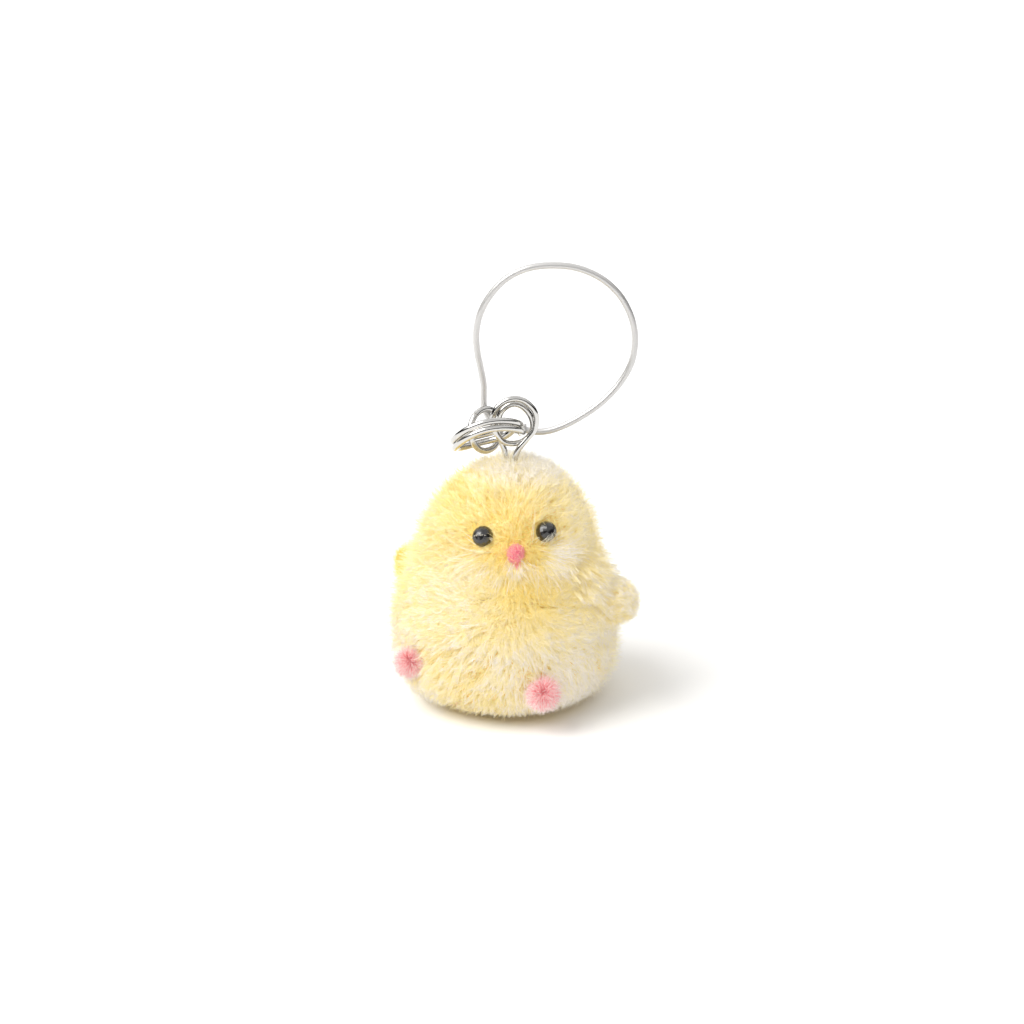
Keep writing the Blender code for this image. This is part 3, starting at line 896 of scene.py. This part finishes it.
coat(
    "shoulder_coat",
    SHOULDER,
    "body",
    seed=25,
    count=4400,
    per=8,
    length=grown(4.2, 3.4, 14.0, 24.0),
    rise=grown_rise(0.9, 0.5, 14.0, 23.0),
    width=0.068,
    comb=body_comb,
    tone=body_tone,
    keep=shoulder_keep,
    gather=0.84,
    spread=0.5,
    climb=(1.5, 3.2),
)
coat(
    "head_undercoat",
    HEAD,
    "head",
    seed=31,
    count=4400,
    per=4,
    length=face_length(1.4, 1.0, 1.2),
    rise=crown_rise(0.45, 1.1),
    width=0.09,
    comb=any_way,
    tone=shifted(head_tone, -0.6),
    keep=head_keep,
    clear_of=EYES_CLEAR,
    climb=(0.6, 1.2),
)
coat(
    "head_coat",
    HEAD,
    "head",
    seed=32,
    count=3800,
    per=8,
    length=face_length(3.2, 1.6, 1.7),
    rise=crown_rise(0.6, 1.6),
    width=0.066,
    comb=head_comb,
    tone=head_tone,
    keep=head_keep,
    clear_of=EYES_CLEAR,
    gather=0.82,
    spread=0.46,
    climb=(1.5, 3.0),
)
coat(
    "cheek_coat",
    HEAD,
    "head",
    seed=35,
    count=2800,
    per=8,
    length=lambda p, n: 3.9 - 1.3 * ramp(p @ FACING, 9.0, 13.0),
    rise=constant(0.9),
    width=0.068,
    comb=cheek_comb,
    tone=head_tone,
    keep=cheek_keep,
    gather=0.8,
    spread=0.5,
    climb=(1.8, 3.4),
)

# Single hairs that stand out of the coat and blur its outline.
for name, surface, body, seed, keep, tone in (
    ("body_fuzz", BODY, "body", 91, body_fuzz_keep, body_tone),
    ("shoulder_fuzz", SHOULDER, "body", 92, shoulder_keep, body_tone),
    ("head_fuzz", HEAD, "head", 93, head_keep, head_tone),
):
    coat(
        name,
        surface,
        body,
        seed=seed,
        count=9000,
        per=1,
        length=constant(1.1),
        rise=grown_rise(0.7, 2.2, 1.0, 6.0),
        width=0.055,
        comb=any_way,
        tone=shifted(tone, 0.6),
        keep=keep,
        clear_of=FEET_CLEAR + EYES_CLEAR,
        scruff=0.8,
        spread=0.05,
        fray=0.12,
        climb=(0.5, 1.2),
    )

# Loose tufts under the nose, on both cheeks, on the chin and at the crown: each one's name, spot, spread,
# direction, length, rise, number of clumps, shade and fan.
HEAD_TUFTS = (
    ("nose_tuft", head_point(-1.0, 26.9), 0.5, (0.05, 0.0, -1.0), 2.6, 1.2, 60, 6.0, 0.3),
    ("right_cheek_tuft", head_point(21.0, 27.6), 1.0, RIGHT + UP * -0.32, 5.4, 2.0, 110, 6.3, 0.38),
    ("left_cheek_tuft", head_point(-28.0, 26.6), 1.1, UP * -0.5 - RIGHT, 4.2, 1.4, 70, 4.8, 0.34),
    ("chin_left_tuft", head_point(-14.0, 25.6), 1.4, UP * -1.0 - RIGHT * 0.5, 4.2, 1.4, 80, 4.6, 0.34),
    ("chin_right_tuft", head_point(12.0, 25.8), 1.3, UP * -1.0 + RIGHT * 0.6, 3.6, 1.3, 60, 4.6, 0.34),
    ("crown_tuft", head_point(8.0, 37.9, 1.6), 1.2, FACING - UP * 0.6, 3.0, 2.3, 130, 5.8, 0.6),
)
for k, (name, spot, radius, direction, length, rise, count, level, fan) in enumerate(HEAD_TUFTS):
    tuft(
        name,
        HEAD,
        "head",
        seed=60 + k,
        spot=spot,
        radius=radius,
        direction=direction,
        length=length,
        rise=rise,
        count=count,
        per=2,
        level=level,
        fan=fan,
        thick=0.07,
        gather=0.3,
    )
# Tufts over the arms' roots: each one's name, azimuth, height, spread, length, rise, clumps and shade.
SHOULDER_TUFTS = (
    ("left_shoulder_tuft", -93.0, 21.6, 1.4, 1.9, 1.9, 110, 2.0),
    ("right_shoulder_tuft", 84.0, 22.0, 1.9, 2.6, 3.5, 230, 3.6),
)
for k, (name, azimuth, height, radius, length, rise, count, level) in enumerate(SHOULDER_TUFTS):
    tuft(
        name,
        SHOULDER,
        "body",
        seed=68 + k,
        spot=outward(azimuth, 14.4, height)[1],
        radius=radius,
        direction=-UP,
        length=length,
        rise=rise,
        count=count,
        per=7,
        level=level,
        fan=0.25,
        gather=0.6,
    )

# ---------------------------------------------------------------- arms and feet
# Arms: a stuffed cap under a coat combed to its tip. ARM_ROOT is the (distance, height) of its seam, and
# each arm has its azimuth, the (distance, height) of its cap's middle, its radius, its coat's shade,
# length and rise, its shades and its first seed.
ARM_ROOT = (13.9, 17.2)
ARMS = {
    # Left: deep yellow shades, painted light for the brightly lit left side.
    "left": (-95.0, (16.3, 18.9), 2.3, -0.2, 2.0, 1.1, LEFT_ARM_LIT, 41),
    # Right: a paler level, painted shade for the side away from the key light.
    "right": (90.0, (17.8, 17.9), 2.5, 2.8, 2.8, 1.4, PILE, 45),
}
for side, (azimuth, tip, radius, level, length, rise, shades, seed) in ARMS.items():
    out, climbed = tip[0] - ARM_ROOT[0], tip[1] - ARM_ROOT[1]
    span = math.hypot(climbed, out)
    turn, base = outward(azimuth, *ARM_ROOT, math.atan2(climbed, out))
    outline = [(radius - 0.05, -1.2), (radius, 0.0), (radius, span)]
    for a in (20, 40, 60, 78, 89.5):
        outline.append((radius * math.cos(math.radians(a)), span + radius * math.sin(math.radians(a))))
    surface = Round(outline, turn, base)
    body = f"{side}_arm"
    skin(f"{body}_skin", surface, 32, YELLOW_CLOTH, body, (f"{body}_cover",))

    def arm_comb(p, n, along=turn[:, 2]):
        return np.tile(along, (len(p), 1)) + n * 0.2

    def arm_tone(p, n, level=level):
        return level + 0.8 * yellow_spots(p)

    coat(
        f"{body}_undercoat",
        surface,
        body,
        seed=seed,
        count=420,
        per=4,
        length=constant(1.4),
        rise=constant(0.5),
        width=0.09,
        comb=any_way,
        tone=arm_tone,
        materials=shades,
        climb=(0.6, 1.2),
    )
    coat(
        f"{body}_coat",
        surface,
        body,
        seed=seed + 1,
        count=420,
        per=7,
        length=constant(length),
        rise=constant(rise),
        width=0.078,
        comb=arm_comb,
        tone=arm_tone,
        scruff=0.4,
        materials=shades,
        gather=0.7,
        climb=(1.2, 2.8),
    )
    coat(
        f"{body}_fuzz",
        surface,
        body,
        seed=seed + 2,
        count=1500,
        per=1,
        length=constant(1.0),
        rise=constant(1.9),
        width=0.05,
        comb=arm_comb,
        tone=shifted(arm_tone, 0.4),
        scruff=0.8,
        materials=shades,
        spread=0.05,
        fray=0.12,
        climb=(0.5, 1.0),
    )

# Feet: pompoms of fibres that leave one knot.
KNOT_RADIUS = 1.05
KNOT_OUTLINE = [
    (max(KNOT_RADIUS * math.cos(math.radians(a)), 0.02), KNOT_RADIUS * math.sin(math.radians(a)))
    for a in (-90, -60, -30, 0, 30, 60, 90)
]
POMPOM_FIBRES = 2200
for (side, foot), seed, longer in zip(FEET.items(), (51, 52), (1.12, 1.3)):
    surface = Round(KNOT_OUTLINE, *outward(*foot))
    replaced = (f"{side}_foot_cover", f"{side}_foot_stuffing")
    skin(f"{side}_foot_knot", surface, 24, PINK_CLOTH, "body", replaced)
    rng = np.random.default_rng(seed)
    root, normal = surface.scatter(POMPOM_FIBRES, rng)
    aim = unit(normal + rng.normal(0, 0.14, (POMPOM_FIBRES, 3)) - UP * 0.22)
    reach = rng.uniform(1.3, 2.0, POMPOM_FIBRES) * longer
    bend = rng.normal(0, 0.1, (POMPOM_FIBRES, 3))
    path = np.stack([root + aim * (reach * t)[:, None] + bend * t * t for t in (-0.1, 0.4, 0.75, 1.0)])
    path[:, :, 2] = np.maximum(path[:, :, 2], LINE_FLOOR)
    low = rng.normal(0.8, 0.6, POMPOM_FIBRES)
    level = np.stack((low, low + 1.7, low + 3.4))
    seam = unit(np.cross(aim, rng.normal(size=(POMPOM_FIBRES, 3))))
    width = np.full(POMPOM_FIBRES, 0.095)
    fibres(f"{side}_foot_pompom", path, seam, width, level, PINK, "body")


# ---------------------------------------------------------------- nose and eyes
def bead_faces(node, beyond):
    """Middles and normals of a CAD bead's faces that stand beyond this distance from the head's skin."""
    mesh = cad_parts[node].data
    middle = np.array([face.center for face in mesh.polygons]) / MM
    normal = np.array([face.normal for face in mesh.polygons])
    flat, up = HEAD.nearest(middle)
    proud = ((middle - flat) * up).sum(1) > beyond
    return middle[proud], unit(normal[proud])


# The nose's flock, and a drip of it under the nose.
FLOCK = 900
middle, normal = bead_faces("nose", 0.1)
rng = np.random.default_rng(71)
pick = rng.integers(0, len(middle), FLOCK)
root = middle[pick] + rng.normal(0, 0.12, (FLOCK, 3))
aim = unit(normal[pick] + rng.normal(0, 0.5, (FLOCK, 3)) + np.array((0.0, 0.0, -0.4)))
path = np.stack([root + aim * t for t in (-0.2, 0.02, 0.1, 0.18)])
level = rng.normal(0.8, 0.8, (3, FLOCK)) + np.array((0, 0.3, 1.0))[:, None]
seam = unit(np.cross(aim, rng.normal(size=(FLOCK, 3))))
fibres("nose_flock_pile", path, seam, np.full(FLOCK, 0.07), level, PINK, "head")
tuft(
    "nose_drip",
    HEAD,
    "head",
    seed=72,
    spot=NOSE_SPOT + np.array((0.15, 0.0, -1.4)),
    radius=0.14,
    direction=(0.15, 0.0, -1.0),
    length=0.9,
    rise=0.9,
    count=6,
    per=5,
    level=0.4,
    thick=0.08,
    materials=PINK,
    slot="nose_flock",
    climb=(0.3, 0.8),
)

# The few hairs that lie across each eye, just over a bead of BEAD_RADIUS.
BEAD_RADIUS = 1.65
HAIR_STATIONS = ((0.0, 1.85), (0.35, 1.75), (0.7, 1.73), (1.0, 1.74))
for side, seed, count in (("left", 81, 46), ("right", 82, 26)):
    middle, _ = bead_faces(f"{side}_eye", 0.05)
    _, ups = HEAD.nearest(middle.mean(axis=0)[None, :])
    up = ups[0]
    across = unit(np.cross(UP, up))
    over = np.cross(up, across)
    rng = np.random.default_rng(seed)
    start = rng.uniform(-2.7, -0.2, count)
    end = start + rng.normal(0.0, 0.35, count)
    reach = rng.uniform(0.45, 1.1, count)
    outer = across * np.cos(start)[:, None] + over * np.sin(start)[:, None]
    inner = across * np.cos(end)[:, None] + over * np.sin(end)[:, None]
    inner = inner * (1.0 - reach)[:, None] + up * 1.2
    heart = middle[(middle @ up).argmax()] - up * BEAD_RADIUS
    path = np.stack([heart + unit(outer * (1 - t) + inner * t) * r for t, r in HAIR_STATIONS])
    seam = np.tile(up, (count, 1))
    level = np.full((3, count), 6)
    fibres(f"{side}_eye_hairs", path, seam, np.full(count, 0.042), level, PILE, "head")

# ---------------------------------------------------------------- wires and cord
# All of these are in the head's own axes.
HANGER_ROUTE = (
    (1.85, -0.45, 34.25),
    (1.20, -0.45, 34.30),
    (0.95, -0.45, 34.90),
    (0.95, -0.45, 37.00),
    (1.00, -0.50, 39.20),
    (1.55, -0.60, 41.00),
    (2.75, -0.62, 42.55),
    (4.05, -0.55, 44.15),
    (4.45, -0.55, 45.60),
    (4.25, -0.55, 47.00),
    (3.50, -0.55, 48.15),
    (2.40, -0.55, 49.05),
    (1.00, -0.55, 49.40),
    (-0.45, -0.55, 49.05),
    (-1.60, -0.55, 48.15),
    (-2.25, -0.55, 47.00),
    (-2.40, -0.55, 45.70),
    (-2.20, -0.55, 44.60),
    (-1.60, -0.50, 43.35),
    (-0.75, -0.33, 42.35),
    (0.45, 0.00, 41.90),
    (2.05, 0.45, 41.90),
    (3.30, 0.60, 42.72),
    (3.98, 0.60, 44.10),
    (3.80, 0.60, 45.70),
    (3.10, 0.55, 46.95),
    (2.15, 0.55, 47.85),
    (1.00, 0.55, 48.20),
    (-0.10, 0.55, 47.85),
    (-1.00, 0.60, 46.95),
    (-1.45, 0.65, 45.70),
    (-1.55, 0.70, 44.50),
    (-1.40, 0.75, 43.20),
    (-0.95, 0.75, 41.90),
    (-0.45, 0.65, 40.60),
    (-0.25, 0.50, 39.20),
    (-0.25, 0.45, 37.00),
    (-0.25, 0.45, 34.90),
    (-0.50, 0.45, 34.30),
    (-1.15, 0.45, 34.25),
)
CORD_ROUTE = (
    (2.20, 5.22, 42.62),
    (1.63, 5.37, 42.72),
    (1.06, 5.51, 42.82),
    (0.00, 5.70, 43.10),
    (-0.95, 5.85, 43.40),
    (-1.80, 6.20, 43.75),
    (-2.50, 6.75, 44.30),
    (-2.98, 7.20, 45.15),
    (-3.15, 7.40, 46.30),
    (-3.15, 7.30, 47.80),
    (-3.20, 7.00, 49.60),
    (-3.65, 6.75, 52.20),
    (-4.20, 6.30, 55.00),
    (-4.42, 5.80, 58.30),
    (-3.80, 5.40, 61.60),
    (-2.25, 5.05, 64.60),
    (0.05, 4.75, 67.15),
    (3.20, 4.50, 68.80),
    (7.00, 4.40, 69.30),
    (11.20, 4.30, 68.80),
    (15.05, 4.25, 67.00),
    (17.95, 4.20, 64.20),
    (19.80, 4.15, 60.60),
    (20.40, 4.10, 56.90),
    (19.80, 4.10, 53.10),
    (17.80, 4.10, 49.60),
    (14.75, 4.10, 46.50),
    (11.00, 4.15, 44.05),
    (7.60, 4.30, 42.55),
    (5.20, 4.60, 42.15),
    (3.54, 4.89, 42.38),
    (2.97, 5.03, 42.48),
    (2.40, 5.18, 42.58),
)
HANGER_WIRE, SPLIT_RING_WIRE, JUMP_RING_WIRE, CORD_DIAMETER = 0.92, 1.05, 1.0, 1.05


def split_ring_line():
    """Nearly two turns of a helix that steps over to its second layer near the end of the first turn."""
    centre = np.array((-3.14, 0.0, 43.15))
    radius = 5.475
    right = unit(np.array((0.976, 0.0, 0.2177)))
    near_side = np.array((-0.0854, -0.9198, 0.3830))
    near_side = unit(near_side - (near_side @ right) * right)
    up = np.cross(right, near_side)
    up = up if up[2] > 0 else -up
    turned = np.linspace(0.0, 670.0, 221)
    share = np.clip((turned - 310.0) / 50.0, 0.0, 1.0)
    layer = 1.15 * (share * share * (3.0 - 2.0 * share) - 0.5)
    angle = np.radians(turned - 20.0)
    bow = np.where(np.sin(angle) > 0, 1.25, 0.3) * np.sin(angle) ** 2
    flat = radius * (np.cos(angle)[:, None] * right + np.sin(angle)[:, None] * near_side)
    return centre + flat + (layer + bow)[:, None] * up


def jump_ring_line():
    """One turn with its two ends 0.22 mm apart."""
    centre = np.array((-3.05, 4.85, 42.65))
    radius = 3.3
    yaw, tilt, roll = (math.radians(a) for a in (39.0, -10.0, 7.0))
    flat_right = turn_z(yaw) @ np.array((1.0, 0.0, 0.0))
    flat_up = turn_z(yaw) @ np.array((0.0, -math.sin(tilt), math.cos(tilt)))
    right = flat_right * math.cos(roll) - flat_up * math.sin(roll)
    up = flat_up * math.cos(roll) + flat_right * math.sin(roll)
    half_gap = math.asin(0.11 / radius)
    around = (math.tau - 2 * half_gap) * np.linspace(0.0, 1.0, 121)
    angle = math.radians(130.0) + half_gap + around
    return centre + radius * (np.cos(angle)[:, None] * right + np.sin(angle)[:, None] * up)


def wire(name, points, diameter, material, body, replaced):
    """A round wire along the points, and where those points are in the world, in metres."""
    curve = bpy.data.curves.new(name, "CURVE")
    curve.dimensions = "3D"
    curve.bevel_depth = diameter / 2 * MM
    curve.bevel_resolution = 5
    curve.use_fill_caps = True
    spline = curve.splines.new("POLY")
    spline.points.add(len(points) - 1)
    placed = points @ HEAD_TURN.T * MM
    for knot, point in zip(spline.points, placed):
        knot.co = (*point, 1.0)
    spline.use_smooth = True
    curve.materials.append(material)
    made = place_piece(name, curve, body)
    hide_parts(replaced)
    return made, placed


hanger_line = even(smooth(HANGER_ROUTE, 24), 0.3)
for name, line, diameter, body, replaced in (
    ("hanger_wire", hanger_line, HANGER_WIRE, "head", "hanger_loop"),
    ("split_ring_coil", split_ring_line(), SPLIT_RING_WIRE, "large_ring", "split_ring"),
    ("jump_ring_wire", jump_ring_line(), JUMP_RING_WIRE, "small_ring", "small_jump_ring"),
):
    wire(name, line, diameter, CHROME, body, replaced)

cord_line = even(smooth(CORD_ROUTE, 24), 0.5)
cord, cord_points = wire("cord_strand", cord_line, CORD_DIAMETER, CORD, "cord", "cord_loop")
